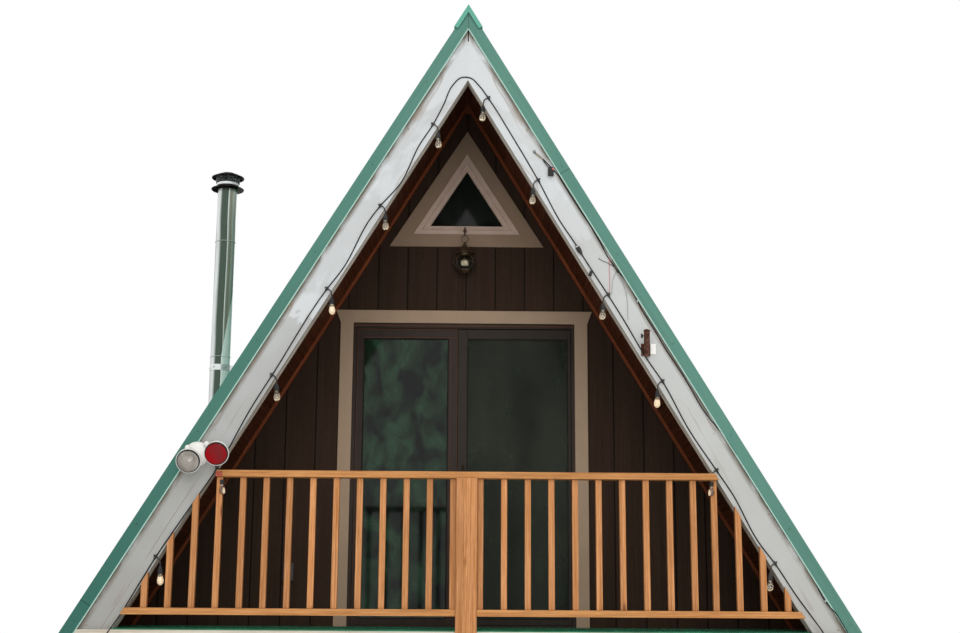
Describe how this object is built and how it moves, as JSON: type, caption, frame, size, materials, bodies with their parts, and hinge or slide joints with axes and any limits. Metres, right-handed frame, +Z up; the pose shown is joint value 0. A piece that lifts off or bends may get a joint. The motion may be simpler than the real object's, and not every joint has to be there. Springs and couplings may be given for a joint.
{
  "type": "a-frame cabin with gable balcony",
  "caption": "Steep A-frame cabin with green ribbed metal roof, white barge boards, dark grooved gable wall, sliding door, railed upper balcony and triangular window.",
  "frame": {"origin": "ground level, under the middle of the overall box", "axes": "+X to the right seen from the balcony end, +Y from the balcony end into the cabin, +Z up"},
  "size_m": [7.691, 9.3503, 6.4936],
  "materials": {
    "foundation": "cast concrete, form-board marks",
    "ground_floor": "sawn boards, oiled",
    "upper_floor": "sawn boards, oiled",
    "front_wall": "grooved plywood siding, dark brown stain",
    "back_wall": "grooved plywood siding, dark brown stain",
    "roof_boards_left": "tongue and groove boards, red-brown stain",
    "roof_boards_right": "tongue and groove boards, red-brown stain",
    "rafters_left": "sawn timber, red-brown stain",
    "rafters_right": "sawn timber, red-brown stain",
    "roof_sheet_left": "ribbed steel sheet, green coating",
    "roof_sheet_right": "ribbed steel sheet, green coating",
    "ridge_cap": "folded steel sheet, green coating, weathered edge",
    "edge_trims": "folded steel sheet, green coating, weathered lip",
    "barge_boards": "white paint, peeling and grey low down",
    "soffit_trim": "thin strip, red-brown stain",
    "deck_joists": "sawn joists",
    "deck_boards": "sawn deck boards",
    "rim_board": "bare board, weathered pale",
    "turf": "artificial turf, short green pile",
    "top_rail": "planed cedar, clear finish",
    "bottom_rails": "planed cedar, clear finish",
    "balusters": "planed cedar, clear finish",
    "centre_post": "planed cedar, clear finish",
    "door_trim": "flat boards, taupe paint",
    "door_frame": "extruded frame, dark brown",
    "door_panel": "extruded frame, dark brown",
    "door_screen": "insect screen, dark frame",
    "door_glass": "clear glass, dark inside",
    "curtain": "plain woven curtain, hung in folds",
    "window_trim": "flat boards, taupe paint",
    "window_frame": "stepped wooden frame, faded paint",
    "window_glass": "clear glass, dark inside",
    "lantern_frame": "dark bronze finish",
    "lantern_globe": "blown clear glass",
    "flue_pipe": "bright stainless pipe",
    "flue_cap": "stainless rain cap, smoke stained",
    "flue_brace": "galvanised strap and struts",
    "flue_flashing": "galvanised flashing",
    "flood_holder": "white enamel",
    "flood_lamps": "pressed glass lamps, one clear, one red",
    "flag_holder": "rusted steel",
    "outlet_box": "light grey moulding",
    "light_lead": "black rubber lead",
    "light_sockets": "black moulded sockets",
    "light_bulbs": "clear glass bulbs"
  },
  "bodies": {
    "root": {"foundation": "foundation", "ground_floor": "ground_floor", "upper_floor": "upper_floor", "front_wall": "front_wall", "back_wall": "back_wall", "roof_boards_left": "roof_boards_left", "roof_boards_right": "roof_boards_right", "rafters_left": "rafters_left", "rafters_right": "rafters_right", "roof_sheet_left": "roof_sheet_left", "roof_sheet_right": "roof_sheet_right", "ridge_cap": "ridge_cap", "edge_trims": "edge_trims", "barge_boards": "barge_boards", "soffit_trim": "soffit_trim", "deck_joists": "deck_joists", "deck_boards": "deck_boards", "rim_board": "rim_board", "turf": "turf", "top_rail": "top_rail", "bottom_rails": "bottom_rails", "balusters": "balusters", "centre_post": "centre_post", "door_trim": "door_trim", "door_frame": "door_frame", "door_panel": "door_panel", "door_screen": "door_screen", "door_glass": "door_glass", "curtain": "curtain", "window_trim": "window_trim", "window_frame": "window_frame", "window_glass": "window_glass", "lantern_frame": "lantern_frame", "lantern_globe": "lantern_globe", "flue_pipe": "flue_pipe", "flue_cap": "flue_cap", "flue_brace": "flue_brace", "flue_flashing": "flue_flashing", "flood_holder": "flood_holder", "flood_lamps": "flood_lamps", "flag_holder": "flag_holder", "outlet_box": "outlet_box", "light_lead": "light_lead", "light_sockets": "light_sockets", "light_bulbs": "light_bulbs"}
  },
  "joints": []
}
